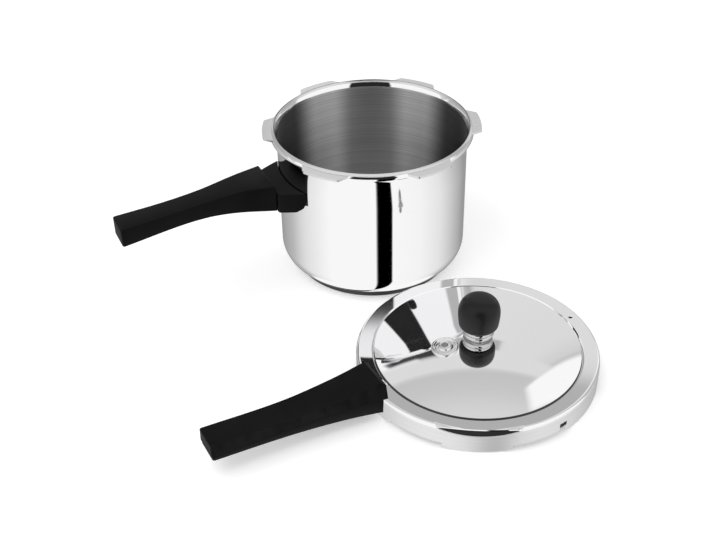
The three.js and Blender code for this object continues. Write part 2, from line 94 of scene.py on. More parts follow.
def startMaterial(name, centre=(0, 0, 0)):
    material = bpy.data.materials.new(name)
    material.use_nodes = True
    tree = material.node_tree
    place = addNode(tree, "ShaderNodeTexCoord", "place on the piece")
    toAxis = addNode(tree, "ShaderNodeMapping", "axis of the piece")
    toAxis.inputs["Location"].default_value = [-c * mm for c in centre]
    tree.links.new(place.outputs["Object"], toAxis.inputs["Vector"])
    return material, tree, tree.nodes["Principled BSDF"], toAxis.outputs["Vector"]


def roundLines(tree, vector):
    # distance from the axis and height, so that a pattern runs round and round
    parts = addNode(tree, "ShaderNodeSeparateXYZ", "place parts")
    flat = addNode(tree, "ShaderNodeCombineXYZ", "across the axis")
    length = addNode(tree, "ShaderNodeVectorMath", "distance from axis", operation="LENGTH")
    lines = addNode(tree, "ShaderNodeCombineXYZ", "distance and height")
    tree.links.new(vector, parts.inputs["Vector"])
    tree.links.new(parts.outputs["X"], flat.inputs["X"])
    tree.links.new(parts.outputs["Y"], flat.inputs["Y"])
    tree.links.new(flat.outputs["Vector"], length.inputs[0])
    tree.links.new(length.outputs["Value"], lines.inputs["X"])
    tree.links.new(parts.outputs["Z"], lines.inputs["Y"])
    return lines.outputs["Vector"]


def addBump(tree, shader, height, strength, distance, label):
    bump = addNode(tree, "ShaderNodeBump", label)
    setInputs(bump, Strength=strength, Distance=distance)
    tree.links.new(height, bump.inputs["Height"])
    tree.links.new(bump.outputs["Normal"], shader.inputs["Normal"])


mirrorLook = {"grey": (0.925, 0.937), "rough": (0.025, 0.06), "smudge": 14, "lines": 900, "bump": 0.0003}
satinLook = {"grey": (0.80, 0.87), "rough": (0.40, 0.48), "smudge": 30, "lines": 1200, "bump": 0.02}
rimLook = {"grey": (0.70, 0.76), "rough": (0.25, 0.31), "smudge": 30, "lines": 1200, "bump": 0.01}
collarLook = {"grey": (0.58, 0.66), "rough": (0.05, 0.1), "smudge": 60, "lines": 1200, "bump": 0.005}
discLook = {"grey": (0.78, 0.85), "rough": (0.14, 0.2), "smudge": 80, "lines": 1200, "bump": 0.01}
# painted shade: dark steel put where the base cap and the lid's groove lie in shadow
shadeLook = {"grey": (0.05, 0.09), "rough": (0.42, 0.55), "smudge": 60, "lines": 1200, "bump": 0.1}
plainLook = {"grey": (0.52, 0.68), "rough": (0.22, 0.36), "smudge": 40, "lines": 1500, "bump": 0.1}
# the last stops of the inside's look are painted sheen and painted shade, darkest to the left and right
brushLook = {"grey": (0.58, 0.78), "rough": (0.48, 0.60), "smudge": 60, "lines": 800, "bump": 0.05,
             "drawn": 0.95,
             "paintedFan": [(0.0, 0.70), (0.2, 0.70), (0.42, 1.25), (0.6, 1.2), (0.86, 0.20), (1.0, 0.14)]}
coreLook = {"grey": (0.60, 0.72), "rough": (0.38, 0.5), "smudge": 50, "lines": 700, "bump": 0.2}
alloyLook = {"grey": (0.30, 0.42), "rough": (0.35, 0.5), "smudge": 200, "lines": 900, "bump": 0.1}
# what all metals share: how the noise is built, where its greys lie and how blue they are
steelTexture = {"lineDetail": 3, "lineRoughness": 0.65, "smudgeDetail": 5, "dark": 0.3, "pale": 0.7,
                "darkBlue": 1.01, "paleBlue": 1.005, "depth": 0.0001, "drawnTurn": 0.25}


def paintSheenAndShade(tree, shader, vector, tone, stops):
    # painted sheen and painted shade: the base colour in paler and darker fans round the axis, the same to
    # the left and right, darkest at the sides
    level = addNode(tree, "ShaderNodeVectorMath", "across the axis", operation="MULTIPLY")
    level.inputs[1].default_value = (1, 1, 0)
    facing = addNode(tree, "ShaderNodeVectorMath", "way from the axis", operation="NORMALIZE")
    parts = addNode(tree, "ShaderNodeSeparateXYZ", "way parts")
    aside = addNode(tree, "ShaderNodeMath", "to the side", operation="ABSOLUTE")
    paintedFan = addNode(tree, "ShaderNodeMix", "with fans", data_type="RGBA", blend_type="MULTIPLY")
    paintedFan.inputs["Factor"].default_value = 1
    tree.links.new(vector, level.inputs[0])
    tree.links.new(level.outputs["Vector"], facing.inputs[0])
    tree.links.new(facing.outputs["Vector"], parts.inputs["Vector"])
    tree.links.new(parts.outputs["X"], aside.inputs[0])
    tree.links.new(tone.outputs["Color"], paintedFan.inputs["A"])
    shades = greyRamp(tree, aside.outputs["Value"], stops, "painted_sheen_and_shade", "EASE")
    tree.links.new(shades.outputs["Color"], paintedFan.inputs["B"])
    tree.links.new(paintedFan.outputs["Result"], shader.inputs["Base Color"])


def turnedMetal(name, look, centre=(0, 0, 0)):
    material, tree, shader, vector = startMaterial(name, centre)
    setInputs(shader, Metallic=1.0)
    shared = steelTexture
    lines = noise(tree, roundLines(tree, vector), look["lines"], shared["lineDetail"], "turning lines",
                  shared["lineRoughness"])
    smudge = noise(tree, vector, look["smudge"], shared["smudgeDetail"], "handling marks")
    low, high = look["grey"]
    dark = (low, low, low * shared["darkBlue"], 1)
    pale = (high, high, high * shared["paleBlue"], 1)
    tone = greyRamp(tree, lines, [(shared["dark"], dark), (shared["pale"], pale)], "steel grey")
    tree.links.new(tone.outputs["Color"], shader.inputs["Base Color"])
    tree.links.new(spread(tree, smudge, *look["rough"], "gloss"), shader.inputs["Roughness"])
    addBump(tree, shader, lines, look["bump"], shared["depth"], "fine lines")
    if "drawn" in look:
        # brushed round and round, so that highlights are drawn out up and down
        around = addNode(tree, "ShaderNodeTangent", "round the axis", direction_type="RADIAL", axis="Z")
        tree.links.new(around.outputs["Tangent"], shader.inputs["Tangent"])
        setInputs(shader, Anisotropic=look["drawn"], Anisotropic_Rotation=shared["drawnTurn"])
        # painted sheen and shade in the inside's colour, by the side it faces
        paintSheenAndShade(tree, shader, vector, tone, look["paintedFan"])
    return material


mouldingLook = {"grey": (0.003, 0.006), "rough": (0.38, 0.46), "sheen": 0.08, "grain": 900, "bump": 0.09}
knobLook = {"grey": (0.004, 0.008), "rough": (0.34, 0.44), "sheen": 0.28, "grain": 1100, "bump": 0.06}
rubberLook = {"grey": (0.012, 0.020), "rough": (0.62, 0.8), "sheen": 0.3, "grain": 1400, "bump": 0.2}
blackTexture = {"detail": 4, "grainRoughness": 0.6, "cloudPart": 30, "dark": 0.3, "pale": 0.7,
                "paleBlue": 1.03, "depth": 0.0002}


def mouldedBlack(name, look):
    material, tree, shader, vector = startMaterial(name)
    setInputs(shader, Specular_IOR_Level=look["sheen"])
    shared = blackTexture
    grain = noise(tree, vector, look["grain"], shared["detail"], "moulding grain",
                  shared["grainRoughness"])
    cloud = noise(tree, vector, look["grain"] / shared["cloudPart"], shared["detail"], "uneven gloss")
    low, high = look["grey"]
    pale = (high, high, high * shared["paleBlue"], 1)
    tone = greyRamp(tree, cloud, [(shared["dark"], low), (shared["pale"], pale)], "black")
    tree.links.new(tone.outputs["Color"], shader.inputs["Base Color"])
    tree.links.new(spread(tree, cloud, *look["rough"], "gloss"), shader.inputs["Roughness"])
    addBump(tree, shader, grain, look["bump"], shared["depth"], "grain")
    return material


lidCentre = (*lidAxis, 0)
potMirror = turnedMetal("pot mirror steel", mirrorLook)
potRim = turnedMetal("pot rim satin steel", rimLook)
potBrushed = turnedMetal("pot inside brushed steel", brushLook)
lidMirror = turnedMetal("lid mirror steel", mirrorLook, lidCentre)
# painted shade: the base cap is made dark for the shadow under the pot's edge
baseCapShade = turnedMetal("base cap painted shade steel", shadeLook)
lidSatin = turnedMetal("lid skirt satin steel", satinLook, lidCentre)
# painted shade for the front side of the groove
grooveShade = turnedMetal("lid groove painted shade steel", shadeLook, lidCentre)
valveSteel = turnedMetal("safety valve steel", discLook, lidCentre)
coreMetal = turnedMetal("base core aluminium", coreLook)
fittingSteel = turnedMetal("fitting steel", plainLook, lidCentre)
collarSteel = turnedMetal("weight collar steel", collarLook, lidCentre)
plugAlloy = turnedMetal("safety plug alloy", alloyLook, lidCentre)
handleBlack = mouldedBlack("handle black moulding", mouldingLook)
knobBlack = mouldedBlack("knob black moulding", knobLook)
sealBlack = mouldedBlack("seal black rubber", rubberLook)
print("materials ready")


# modelling helpers

mergeWithin = 0.0005
nearby = 0.1
sharpFrom = 40
smoothBelow = 35


def bendPoints(x, z, radius, start, end, steps):
    points = []
    for i in range(steps + 1):
        angle = math.radians(start + (end - start) * i / steps)
        points.append((x + radius * math.cos(angle), z + radius * math.sin(angle)))
    return points


def spinProfile(points, steps, startTurn=0.0, closed=False):
    bm = bmesh.new()
    row = [bm.verts.new((x, 0, z)) for x, z in points]
    for a, b in zip(row, row[1:]):
        bm.edges.new((a, b))
    if closed:
        bm.edges.new((row[-1], row[0]))
    turnPiece(bm, startTurn)
    bmesh.ops.spin(bm, geom=bm.verts[:] + bm.edges[:], cent=(0, 0, 0), axis=(0, 0, 1),
                   angle=math.tau, steps=steps, use_merge=True)
    bmesh.ops.remove_doubles(bm, verts=bm.verts, dist=mergeWithin)
    bmesh.ops.recalc_face_normals(bm, faces=bm.faces)
    return bm


def turnPiece(bm, degrees):
    turn = Matrix.Rotation(math.radians(degrees), 3, "Z")
    bmesh.ops.rotate(bm, verts=bm.verts, cent=(0, 0, 0), matrix=turn)


def movePiece(bm, x, y, z=0.0):
    bmesh.ops.translate(bm, verts=bm.verts, vec=(x, y, z))


def azimuth(point):
    return math.degrees(math.atan2(point.y, point.x))


def offCentre(angle, centre, pitch=360):
    # how far an angle is from the nearest of the evenly spaced centres
    return (angle - centre + pitch / 2) % pitch - pitch / 2


def outward(point):
    return math.hypot(point.x, point.y)


def sharpEdges(bm, degrees, keep=None):
    limit = math.radians(degrees)
    found = []
    for edge in bm.edges:
        if len(edge.link_faces) == 2 and edge.calc_face_angle(0) > limit:
            if keep is None or keep(edge):
                found.append(edge)
    return found


def softenEdges(bm, edges, size, segments=3):
    bmesh.ops.bevel(bm, geom=edges, offset=size, offset_type="OFFSET", segments=segments, profile=0.5,
                    affect="EDGES", clamp_overlap=True, material=-1)


def keepPiece(bm, name, body, nodes, materials):
    bmesh.ops.scale(bm, vec=(mm, mm, mm), verts=bm.verts)
    mesh = bpy.data.meshes.new(name)
    bm.to_mesh(mesh)
    bm.free()
    mesh.shade_smooth()
    mesh.set_sharp_from_angle(angle=math.radians(smoothBelow))
    for material in materials:
        mesh.materials.append(material)
    piece = bpy.data.objects.new(name, mesh)
    bpy.context.collection.objects.link(piece)
    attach(piece, body)
    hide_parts(*nodes)
    print("piece:", name, len(mesh.polygons), "faces")
    return piece


def curveAt(knots, x):
    # smooth curve through (distance, value) knots
    last = len(knots) - 1
    i = 0
    while i < last - 1 and x > knots[i + 1][0]:
        i += 1

    def slope(k):
        a, b = knots[max(k - 1, 0)], knots[min(k + 1, last)]
        return (b[1] - a[1]) / (b[0] - a[0])

    (x0, v0), (x1, v1) = knots[i], knots[i + 1]
    span = x1 - x0
    t = min(max((x - x0) / span, 0), 1)
    t2, t3 = t * t, t * t * t
    return ((2 * t3 - 3 * t2 + 1) * v0 + (t3 - 2 * t2 + t) * span * slope(i)
            + (3 * t2 - 2 * t3) * v1 + (t3 - t2) * span * slope(i + 1))


def slicedCube(*slices):
    # unit cube cut across its axes, each slice an (axis, cuts) pair
    bm = bmesh.new()
    bmesh.ops.create_cube(bm, size=1)
    for axis, cuts in slices:
        along = [e for e in bm.edges if abs(e.verts[0].co[axis] - e.verts[1].co[axis]) > 0.5]
        bmesh.ops.subdivide_edges(bm, edges=along, cuts=cuts, use_grid_fill=True)
    return bm


def rising(edge):
    return abs(edge.verts[0].co.z - edge.verts[1].co.z)


def handleBar(size):
    # a bar along X whose width, top and underside follow their curves
    bm = slicedCube((0, size["cuts"]), (1, size["crossCuts"]))
    for vert in bm.verts:
        x = size["start"] + (vert.co.x + 0.5) * (size["end"] - size["start"])
        isTop = vert.co.z > 0
        width = curveAt(size["topWidth" if isTop else "lowWidth"], x)
        vert.co = (x, vert.co.y * width, curveAt(size["top" if isTop else "low"], x))
    return bm


def roundTip(bm, size):
    # the upright edges at the free end of a handle
    steepFrom, leastRise, segments = 60, 2, 5
    atTip = sharpEdges(bm, steepFrom, lambda e: all(v.co.x > size["end"] - nearby for v in e.verts)
                       and rising(e) > leastRise)
    softenEdges(bm, atTip, size["tipCorner"], segments)


# pot

# straightFrom is measured up from the bend, brushedFrom from the bottom, the reaches across
potSize = {"radius": 92, "sheet": 1.2, "bend": 20, "bendSteps": 12, "bottom": 5.2,
           "straightFrom": 0.6, "straightTo": 110, "neck": 5, "neckEnd": 95, "neckSteps": 3,
           "lip": 0.7, "lipStart": -85, "lipSteps": 3,
           "rimTop": 148.5, "rimCrown": 0.1, "rimRadius": 98, "rimRound": 6.5, "rimTurn": 62,
           "rimSteps": 14,
           "flareFrom": 137.8, "flareTurn": 40, "flareRound": 15.5, "flareSteps": 10,
           "inwardFrom": 0.1, "upwardFrom": 0.5, "brushedFrom": 0.5, "brushedTo": 142.0,
           "brushedReach": 0.8, "satinFrom": 146.4, "satinReach": 1, "steps": 288}
potMaterials = [potMirror, potBrushed, potRim]


def makePotShell(size, lug):
    radius, bend = size["radius"], size["bend"]
    flat = radius - bend
    bendTop = size["bottom"] + bend
    inside = radius - size["sheet"]
    rimCentre = size["rimRadius"] - size["rimRound"]
    rimRise = size["rimRound"] * math.sin(math.radians(size["rimTurn"]))
    roundZ = size["rimTop"] - rimRise - size["rimCrown"]
    lipZ = roundZ - size["lip"]
    profile = [(0, size["bottom"])]
    profile += bendPoints(flat, bendTop, bend, -90, 0, size["bendSteps"])
    # two rows keep the wall's mirror straight, up to where it leads into the neck
    profile += [(radius, bendTop + size["straightFrom"]), (radius, size["straightTo"])]
    profile += bendPoints(radius + size["neck"], lipZ - size["neck"], size["neck"], 180, size["neckEnd"],
                          size["neckSteps"])
    profile += bendPoints(size["rimRadius"] - size["lip"], roundZ, size["lip"], size["lipStart"], 0,
                          size["lipSteps"])
    profile += bendPoints(rimCentre, roundZ, size["rimRound"], 0, size["rimTurn"], size["rimSteps"])[1:]
    # mouth: a soft flare that meets the inside wall
    flare = bendPoints(inside + size["flareRound"], size["flareFrom"], size["flareRound"], 180,
                       180 - size["flareTurn"], size["flareSteps"])
    profile += [((profile[-1][0] + flare[-1][0]) / 2, size["rimTop"])] + flare[::-1]
    profile += bendPoints(flat, bendTop, bend - size["sheet"], 0, -90, size["bendSteps"])
    profile += [(0, size["bottom"] + size["sheet"])]
    bm = spinProfile(profile, size["steps"])
    brushedFrom = size["bottom"] + size["brushedFrom"]
    for face in bm.faces:
        middle = face.calc_center_median()
        leaning = face.normal.x * middle.x + face.normal.y * middle.y
        inward = leaning < -size["inwardFrom"] or face.normal.z > size["upwardFrom"]
        within = brushedFrom < middle.z < size["brushedTo"]
        if inward and within and outward(middle) < inside + size["brushedReach"]:
            face.material_index = potMaterials.index(potBrushed)
        elif middle.z > size["satinFrom"] and outward(middle) > rimCentre + size["satinReach"]:
            face.material_index = potMaterials.index(potRim)
    for i in range(lugCount):
        addLug(bm, lug, lug["centre"] + lugPitch * i)
    keepPiece(bm, "potShell", "pot", ["pot_shell"], potMaterials)


lugSize = {"centre": 2.2, "span": 31, "tipSpan": 20, "inside": 94.5, "tip": 105.5, "top": 146.6,
           "tipTop": 146.4, "thick": 2.2, "round": 0.9, "roundSegments": 3,
           "corner": 3.0, "cornerSegments": 5, "cuts": 24}


def addLug(bm, lug, turn):
    # a tab that follows the rim, narrower at its tip, with rounded corners
    tab = slicedCube((1, lug["cuts"]))
    for vert in tab.verts:
        isTip = vert.co.x > 0
        part = vert.co.y * 2
        angle = math.radians(part * (lug["tipSpan"] if isTip else lug["span"]) / 2)
        radius = lug["tip"] if isTip else lug["inside"]
        z = lug["tipTop"] if isTip else lug["top"]
        if vert.co.z < 0:
            z -= lug["thick"]
        vert.co = (radius * math.cos(angle), radius * math.sin(angle), z)

    def atTip(edge):
        return all(outward(v.co) > lug["tip"] - nearby for v in edge.verts)

    corners = sharpEdges(tab, sharpFrom, lambda e: atTip(e) and rising(e) > lug["thick"] / 2)
    softenEdges(tab, corners, lug["corner"], lug["cornerSegments"])
    softenEdges(tab, sharpEdges(tab, sharpFrom), lug["round"], lug["roundSegments"])
    turnPiece(tab, turn)
    for face in tab.faces:
        face.material_index = potMaterials.index(potRim)
    mesh = bpy.data.meshes.new("lug")
    tab.to_mesh(mesh)
    tab.free()
    bm.from_mesh(mesh)
    bpy.data.meshes.remove(mesh)


baseSize = {"radius": 78, "sheet": 1, "top": 5.5, "round": 0.8, "roundSteps": 4, "steps": 192}


def makeBaseCap(size):
    inner = size["radius"] - size["sheet"]
    corner = size["round"]
    profile = [(0, 0)]
    profile += bendPoints(size["radius"] - corner, corner, corner, -90, 0, size["roundSteps"])
    profile += [(size["radius"], size["top"]), (inner, size["top"])]
    profile += [(inner, size["sheet"]), (0, size["sheet"])]
    bm = spinProfile(profile, size["steps"])
    # the cap takes the dark steel as painted shade
    keepPiece(bm, "baseCap", "pot", ["base_cap"], [baseCapShade])


makePotShell(potSize, lugSize)
makeBaseCap(baseSize)


# pot handle

potHandleTurn = 205
potGripWidth = [(110, 44.6), (143.8, 31.4), (189.4, 24.8), (257, 27)]
potGripSize = {"start": 110, "end": 257, "cuts": 40, "crossCuts": 1, "tipCorner": 2, "edge": 1.0,
               "topWidth": potGripWidth, "lowWidth": potGripWidth,
               "top": [(110, 120), (139.4, 120), (174.7, 115.9), (215.8, 112.4), (257, 110.2)],
               "low": [(110, 93.5), (174.7, 99.4), (257, 92)]}


def makePotGrip(size):
    bm = handleBar(size)
    roundTip(bm, size)
    softenEdges(bm, sharpEdges(bm, sharpFrom), size["edge"])
    turnPiece(bm, potHandleTurn)
    keepPiece(bm, "potHandleGrip", "pot", ["pot_handle_grip"], [handleBlack])


guardSize = {"wall": 92.3, "front": 109.7, "low": 92.5, "top": 112, "wallWidth": 72, "frontWidth": 50,
             "under": 10, "edge": 1.2, "cuts": 11, "crossCuts": 17}


def makeGuard(size):
    bm = slicedCube((0, size["cuts"]), (1, size["crossCuts"]))
    under = size["under"]
    for vert in bm.verts:
        part = vert.co.x + 0.5
        y = vert.co.y * (size["wallWidth"] + (size["frontWidth"] - size["wallWidth"]) * part)
        wall = math.sqrt(size["wall"] ** 2 - y ** 2)
        x = wall + (size["front"] - wall) * part
        z = size["top"]
        if vert.co.z < 0:
            # the underside is rounded up towards the wall
            reach = max(0, under - (x - wall))
            z = size["low"] + under - math.sqrt(under ** 2 - reach ** 2)
        vert.co = (x, y, z)
    softenEdges(bm, sharpEdges(bm, sharpFrom), size["edge"])
    turnPiece(bm, potHandleTurn)
    keepPiece(bm, "potHandleGuard", "pot", ["pot_handle_guard"], [handleBlack])


makePotGrip(potGripSize)
makeGuard(guardSize)


# lid

# the groove's sides are measured from the dome's and the ring's edge, windowLow down from the shoulder
lidSize = {"hole": 5.3, "dome": 91.6, "domeTop": 38, "domeEdge": 23.6, "domeSteps": 40,
           "groove": 93.9, "grooveFloor": 21.4, "grooveBend": 0.3, "steepBend": 0.5, "steepSide": 0.8,
           "slopeSide": 1.1,
           "ring": 23.2, "ringRows": (0.03, 0.3, 0.6, 0.9, 0.97),
           "radius": 107.7, "shoulder": 3, "shoulderSteps": 18, "sheet": 1.2,
           "skirtStart": 0.8, "skirtEdge": 5.6, "lugCentre": 205, "lugSpan": 31, "lugSlant": 8,
           "lugMiddle": 3.6, "lugRound": 1.6, "lugRoundSteps": 4, "lugFloor": 103, "lugInside": 99.6,
           "window": 265.2, "windowSpan": 38, "windowLow": 2.8, "windowHigh": 88,
           "windowTip": 0.06, "windowTaper": 0.7, "windowReach": 1,
           "notch": 306.7, "notchSpan": 5.2, "notchTop": 12.6,
           "markAt": 98.9, "markTurn": 25, "mark": 2.2,
           "valveAt": 34, "valveTurn": 207.5, "valveHole": 5.3, "punchAbove": 15, "steps": 360}
lidMaterials = [lidMirror, lidSatin, grooveShade]


def domeHeight(size, r):
    return size["domeTop"] - (size["domeTop"] - size["domeEdge"]) * (r / size["dome"]) ** 2


punching = {"cuts": 3, "finerTimes": 2, "finerMore": 3, "edgeTimes": 1.5, "edgeMore": 0.6, "least": 0.01}


def punchHole(bm, at, degrees, radius, above):
    # finer faces round the place, the ones inside taken out, and the edge drawn round
    finer = radius * punching["finerTimes"] + punching["finerMore"]
    edgeReach = radius * punching["edgeTimes"] + punching["edgeMore"]
    centre = Vector((at * math.cos(math.radians(degrees)), at * math.sin(math.radians(degrees)), 0))

    def away(point):
        return outward(point - centre)

    near = [e for e in bm.edges if all(away(v.co) < finer and v.co.z > above for v in e.verts)]
    bmesh.ops.subdivide_edges(bm, edges=near, cuts=punching["cuts"], use_grid_fill=True)
    middles = [(f, f.calc_center_median()) for f in bm.faces]
    inside = [f for f, middle in middles if away(middle) < radius and middle.z > above]
    bmesh.ops.delete(bm, geom=inside, context="FACES")
    for vert in bm.verts:
        if vert.is_boundary and vert.co.z > above and away(vert.co) < edgeReach:
            factor = radius / max(away(vert.co), punching["least"])
            vert.co.x = centre.x + (vert.co.x - centre.x) * factor
            vert.co.y = centre.y + (vert.co.y - centre.y) * factor


def makeLidShell(size):
    dome, groove, floor, ring = size["dome"], size["groove"], size["grooveFloor"], size["ring"]
    radius, shoulder, lugRound = size["radius"], size["shoulder"], size["lugRound"]
    profile = []
    for i in range(size["domeSteps"] + 1):
        r = size["hole"] + (dome - size["hole"]) * i / size["domeSteps"]
        profile.append((r, domeHeight(size, r)))
    bend = size["grooveBend"]
    profile += [(dome + size["steepBend"], floor + bend), (dome + size["steepSide"], floor),
                (groove - size["slopeSide"], floor), (groove - bend, ring - bend), (groove, ring)]
    shoulderX = radius - shoulder
    shoulderZ = ring - shoulder
    profile += [(groove + (shoulderX - groove) * part, ring) for part in size["ringRows"]]
    profile += bendPoints(shoulderX, shoulderZ, shoulder, 90, 0, size["shoulderSteps"])
    skirtRows = (shoulderZ - size["skirtStart"], shoulderZ - size["windowLow"], size["notchTop"],
                 size["skirtEdge"], size["lugMiddle"])
    profile += [(radius, z) for z in skirtRows]
    profile += bendPoints(radius - lugRound, lugRound, lugRound, 0, -90, size["lugRoundSteps"])
    profile += [(size["lugFloor"], 0), (size["lugInside"], 0)]
    bm = spinProfile(profile, size["steps"], size["lugCentre"] - size["lugSpan"] / 2)

    def fromLug(point):
        return offCentre(azimuth(point), size["lugCentre"], lugPitch)

    halfSpan = size["lugSpan"] / 2
    belowSkirt = size["skirtEdge"] - nearby
    middles = [(f, f.calc_center_median()) for f in bm.faces]
    gaps = [f for f, middle in middles if middle.z < belowSkirt and abs(fromLug(middle)) > halfSpan]
    bmesh.ops.delete(bm, geom=gaps, context="FACES")

    # lugs are wider where they leave the skirt than at the foot
    for vert in bm.verts:
        if vert.co.z < belowSkirt:
            drop = 1 - vert.co.z / size["skirtEdge"]
            shift = fromLug(vert.co) / halfSpan * size["lugSlant"] / 2 * (1 - 2 * drop)
            vert.co.rotate(Matrix.Rotation(math.radians(shift), 3, "Z"))

    # long narrow window through the shoulder over the front lug, its ends drawn to points
    def fromWindow(point):
        return offCentre(azimuth(point), size["window"])

    def alongSheet(point):
        # how far along the sheet, upwards from where the bend starts
        if point.z < shoulderZ:
            return point.z - shoulderZ
        return shoulder * math.atan2(point.z - shoulderZ, outward(point) - shoulderX)

    halfWindow = size["windowSpan"] / 2
    low, high = -size["windowLow"], shoulder * math.radians(size["windowHigh"])
    halfWay = (low + high) / 2
    opened = []
    for face in bm.faces:
        middle = face.calc_center_median()
        onBend = outward(middle) > shoulderX and low < alongSheet(middle) < high
        inNotch = abs(offCentre(azimuth(middle), size["notch"])) < size["notchSpan"] / 2
        if onBend and abs(fromWindow(middle)) < halfWindow:
            opened.append(face)
        elif inNotch and outward(middle) > shoulderX and middle.z < size["notchTop"]:
            opened.append(face)
    bmesh.ops.delete(bm, geom=opened, context="FACES")
    tip = size["windowTip"]
    for vert in bm.verts:
        off = abs(fromWindow(vert.co))
        onSkirt = outward(vert.co) > shoulderX and vert.co.z > size["notchTop"]
        if vert.is_boundary and onSkirt and off < halfWindow + size["windowReach"]:
            narrow = tip + (1 - tip) * max(0, 1 - (off / halfWindow) ** 2) ** size["windowTaper"]
            along = halfWay + (alongSheet(vert.co) - halfWay) * narrow
            turn = max(along, 0) / shoulder
            factor = (shoulderX + shoulder * math.cos(turn)) / outward(vert.co)
            vert.co = (vert.co.x * factor, vert.co.y * factor,
                       shoulderZ + shoulder * math.sin(turn) + min(along, 0))

    punchHole(bm, size["markAt"], size["markTurn"], size["mark"], size["punchAbove"])
    punchHole(bm, size["valveAt"], size["valveTurn"], size["valveHole"], size["punchAbove"])
    bmesh.ops.recalc_face_normals(bm, faces=bm.faces)
    crown = max(bm.faces, key=lambda f: f.calc_center_median().z)
    if crown.normal.z < 0:
        bmesh.ops.reverse_faces(bm, faces=bm.faces)
    bmesh.ops.solidify(bm, geom=bm.faces[:], thickness=size["sheet"])
    for face in bm.faces:
        middle = face.calc_center_median()
        if middle.z < shoulderZ:
            face.material_index = lidMaterials.index(lidSatin)
        elif dome < outward(middle) < dome + size["steepSide"] and middle.y < 0:
            # painted shade: the steep side of the groove, towards the front, takes dark steel
            face.material_index = lidMaterials.index(grooveShade)
    movePiece(bm, *lidAxis)
    return keepPiece(bm, "lidShell", "lid", ["lid_shell"], lidMaterials)


lidShell = makeLidShell(lidSize)


# lid handle

lidHandleTurn = 207.5
lidUpperSize = {"start": 102, "end": 259, "cuts": 40, "crossCuts": 1, "tipCorner": 2, "edge": 1.4,
                "edgeFrom": 28, "chamfer": 7, "chamferAbove": 30,
                "topWidth": [(102, 31), (138.1, 29), (186.8, 25.5), (259, 24.5)],
                "lowWidth": [(102, 40), (138.1, 31.3), (186.8, 27), (259, 26)],
                "top": [(102, 40), (138, 34.6), (186.8, 32.1), (259, 35)],
                "low": [(102, 23.5), (259, 23.5)]}


def makeLidUpper(size):
    bm = handleBar(size)

    def atRoot(vert):
        return vert.co.x < size["start"] + nearby and vert.co.z > size["chamferAbove"]

    levelWithin = 1
    root = sharpEdges(bm, sharpFrom, lambda e: all(atRoot(v) for v in e.verts) and rising(e) < levelWithin)
    softenEdges(bm, root, size["chamfer"], 1)
    roundTip(bm, size)
    softenEdges(bm, sharpEdges(bm, size["edgeFrom"]), size["edge"])
    turnPiece(bm, lidHandleTurn)
    movePiece(bm, *lidAxis)
    return keepPiece(bm, "lidHandleUpper", "lid", ["lid_handle_upper"], [handleBlack])


lidLowerSize = {"start": 104, "end": 258.2, "cuts": 40, "crossCuts": 7, "tipCorner": 2, "edge": 0.8,
                "lidRoom": 108,
                "topWidth": [(102, 40), (138.1, 31.3), (186.8, 27), (258.2, 26)],
                "lowWidth": [(102, 38.5), (138.1, 30), (186.8, 26), (258.2, 25)],
                "top": [(102, 23.2), (258.2, 23.2)],
                "low": [(102, 8.7), (186.8, 15.8), (258.2, 19.3)]}


def makeLidLower(size):
    bm = handleBar(size)
    for vert in bm.verts:
        if vert.co.x < size["start"] + nearby:
            vert.co.x = math.sqrt(size["lidRoom"] ** 2 - vert.co.y ** 2)
    roundTip(bm, size)
    softenEdges(bm, sharpEdges(bm, sharpFrom), size["edge"])
    turnPiece(bm, lidHandleTurn)
    movePiece(bm, *lidAxis)
    return keepPiece(bm, "lidHandleLower", "lid", ["lid_handle_lower"], [handleBlack])


lidHandle = [makeLidUpper(lidUpperSize), makeLidLower(lidLowerSize)]


# safety valve, square to the dome

valveSize = {"disc": 12, "seat": 0.6, "thick": 2.6, "edge": 0.7, "edgeSteps": 4, "lowEdgeSteps": 3,
             "rimWidth": 2.2, "rimSlope": 2.9, "dish": 0.7, "dishEnd": 1.4,
             "boss": 6, "bossTop": 4.6, "bossRound": 0.5, "bossFoot": 0.1, "footSteps": 2, "bossSteps": 3,
             "well": 3.3, "wellFloor": 1.6, "stem": 5, "stemEnd": -7.3, "steps": 72}


def placeOnDome(bm):
    at = lidSize["valveAt"]
    slope = 2 * (lidSize["domeTop"] - lidSize["domeEdge"]) * at / lidSize["dome"] ** 2
    lean = Matrix.Rotation(math.atan(slope), 3, "Y")
    bmesh.ops.rotate(bm, verts=bm.verts, cent=(0, 0, 0), matrix=lean)
    movePiece(bm, at, 0, domeHeight(lidSize, at))
    turnPiece(bm, lidSize["valveTurn"])
    movePiece(bm, *lidAxis)


def makeValveDisc(size):
    disc, boss, edge, bossRound = size["disc"], size["boss"], size["edge"], size["bossRound"]
    bossTop = size["bossTop"]
    top = size["seat"] + size["thick"]
    dish = top - size["dish"]
    profile = [(0, size["stemEnd"]), (size["stem"], size["stemEnd"]), (size["stem"], size["seat"])]
    profile += bendPoints(disc - edge, size["seat"] + edge, edge, -90, 0, size["lowEdgeSteps"])
    profile += bendPoints(disc - edge, top - edge, edge, 0, 90, size["edgeSteps"])
    profile += [(disc - size["rimWidth"], top), (disc - size["rimSlope"], dish)]
    profile += [(boss + size["dishEnd"], dish)]
    profile += bendPoints(boss + bossRound, top + size["bossFoot"], bossRound, -90, -180,
                          size["footSteps"])
    profile += bendPoints(boss - bossRound, bossTop - bossRound, bossRound, 0, 90, size["bossSteps"])
    profile += [(size["well"], bossTop), (size["well"], size["wellFloor"]), (0, size["wellFloor"])]
    bm = spinProfile(profile, size["steps"])
    placeOnDome(bm)
    return keepPiece(bm, "safetyValveDisc", "lid", ["safety_valve_body"], [valveSteel])


